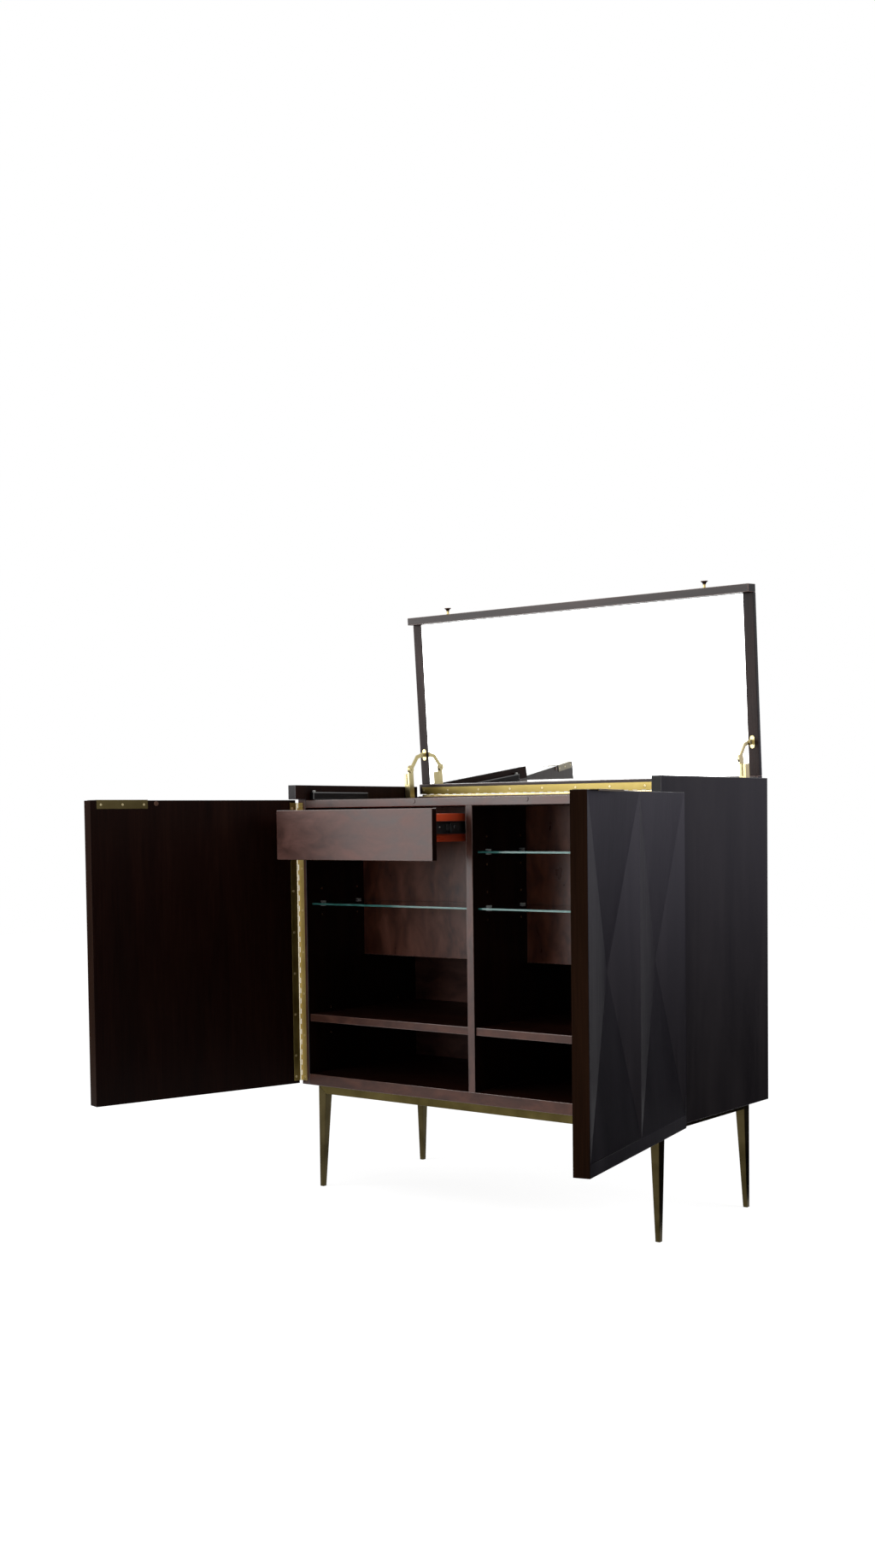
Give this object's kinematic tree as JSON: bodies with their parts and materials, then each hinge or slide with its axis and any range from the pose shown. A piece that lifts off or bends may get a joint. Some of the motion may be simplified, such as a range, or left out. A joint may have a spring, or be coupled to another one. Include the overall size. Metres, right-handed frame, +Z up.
{
  "type": "bar cabinet",
  "caption": "Bar cabinet on tapered brass legs with carved hinged doors, a mirrored lift-up lid over a white deck, a drawer, and wood and glass shelves.",
  "frame": {"origin": "on the floor, in the middle of the case's width, under the case's front edges", "axes": "+X to the viewer's right, +Y to the back, +Z up"},
  "size_m": [1.4194, 0.9813, 1.4509],
  "materials": {
    "dark_wood": "satin, near-black stain",
    "brown_wood": "satin, mauve-brown stain",
    "red_lacquer": "red-orange lacquer",
    "base_brass": "antique, darkened",
    "hinge_brass": "bright",
    "stay_brass": "polished, pale",
    "clear_glass": "clear with green edges",
    "white_glass": "white, painted on the back",
    "mirror_glass": "silvered",
    "black_steel": "black",
    "bright_steel": "plated",
    "clip_plastic": "pale, translucent",
    "bumper_rubber": "pale"
  },
  "bodies": {
    "case": {"side_panel_left": "dark_wood", "side_panel_right": "dark_wood", "bottom_panel": "brown_wood", "back_panel": "dark_wood", "divider_panel": "brown_wood", "well_front_wall": "brown_wood", "well_floor_panel": "brown_wood", "deck_panel": "brown_wood", "deck_glass": "white_glass", "lid_rests": "dark_wood", "lid_bumpers": "bumper_rubber", "wood_shelf_left": "brown_wood", "wood_shelf_right": "brown_wood", "shelf_lugs": "bright_steel", "glass_shelf_left": "clear_glass", "glass_shelf_right_lower": "clear_glass", "glass_shelf_right_upper": "clear_glass", "glass_shelf_clips": "clip_plastic", "leg_front_left": "base_brass", "leg_front_right": "base_brass", "leg_rear_left": "base_brass", "leg_rear_right": "base_brass", "base_side_rails": "base_brass", "base_rail_front": "base_brass", "base_rail_rear": "base_brass", "case_leaf_left": "hinge_brass", "case_leaf_right": "hinge_brass", "case_leaf_lid": "hinge_brass", "hinge_pins": "hinge_brass", "catch_magnets": "bright_steel", "stay_feet": "stay_brass", "runners_outer": "black_steel"},
    "left_door": {"door_left": "dark_wood", "door_leaf_left": "hinge_brass", "door_pull_left": "hinge_brass", "door_strike_left": "bright_steel"},
    "right_door": {"door_right": "dark_wood", "door_leaf_right": "hinge_brass", "door_pull_right": "hinge_brass", "door_strike_right": "bright_steel"},
    "lid": {"lid_front_bar": "dark_wood", "lid_rear_rail": "dark_wood", "lid_stile_left": "dark_wood", "lid_stile_right": "dark_wood", "lid_mirror": "mirror_glass", "lid_panel": "dark_wood", "lid_leaf": "hinge_brass", "lid_knobs": "hinge_brass", "stay_brackets": "stay_brass"},
    "stay_casing_left": {"stay_casing_left": "stay_brass"},
    "stay_arm_left": {"stay_arm_left": "stay_brass"},
    "stay_casing_right": {"stay_casing_right": "stay_brass"},
    "stay_arm_right": {"stay_arm_right": "stay_brass"},
    "drawer": {"drawer_front": "brown_wood", "drawer_side_left": "red_lacquer", "drawer_side_right": "red_lacquer", "drawer_back": "red_lacquer", "drawer_bottom": "red_lacquer", "runners_inner": "black_steel"}
  },
  "joints": [
    {"name": "left_door_hinge", "type": "hinge", "parent": "case", "child": "left_door", "pos_m": [-0.5351, -0.0036, 0.6], "axis": [0, 0, -1], "range_deg": [-28, 64]},
    {"name": "right_door_hinge", "type": "hinge", "parent": "case", "child": "right_door", "pos_m": [0.5351, -0.0036, 0.6], "axis": [0, 0, 1], "range_deg": [-101.9, 68]},
    {"name": "lid_hinge", "type": "hinge", "parent": "case", "child": "lid", "pos_m": [0, 0.4325, 0.968], "axis": [-1, 0, 0], "range_deg": [-86.1, 0]},
    {"name": "drawer_slide", "type": "slide", "parent": "case", "child": "drawer", "axis": [0, -1, 0], "range_m": [-0.111, 0.02]},
    {"name": "stay_foot_pivot_left", "type": "hinge", "parent": "case", "child": "stay_casing_left", "pos_m": [-0.495, 0.388, 0.9295], "axis": [-1, 0, 0], "range_deg": [-86.1, 0]},
    {"name": "stay_knee_left", "type": "hinge", "parent": "stay_casing_left", "child": "stay_arm_left", "pos_m": [-0.495, 0.37803, 1.03607], "axis": [-1, 0, 0], "range_deg": [0, 86.1]},
    {"name": "stay_foot_pivot_right", "type": "hinge", "parent": "case", "child": "stay_casing_right", "pos_m": [0.495, 0.388, 0.9295], "axis": [-1, 0, 0], "range_deg": [-86.1, 0]},
    {"name": "stay_knee_right", "type": "hinge", "parent": "stay_casing_right", "child": "stay_arm_right", "pos_m": [0.495, 0.37803, 1.03607], "axis": [-1, 0, 0], "range_deg": [0, 86.1]}
  ],
  "couplings": [
    {"joint": "stay_foot_pivot_left", "follows": "lid_hinge", "ratio": 1},
    {"joint": "stay_knee_left", "follows": "lid_hinge", "ratio": -1},
    {"joint": "stay_foot_pivot_right", "follows": "lid_hinge", "ratio": 1},
    {"joint": "stay_knee_right", "follows": "lid_hinge", "ratio": -1}
  ]
}
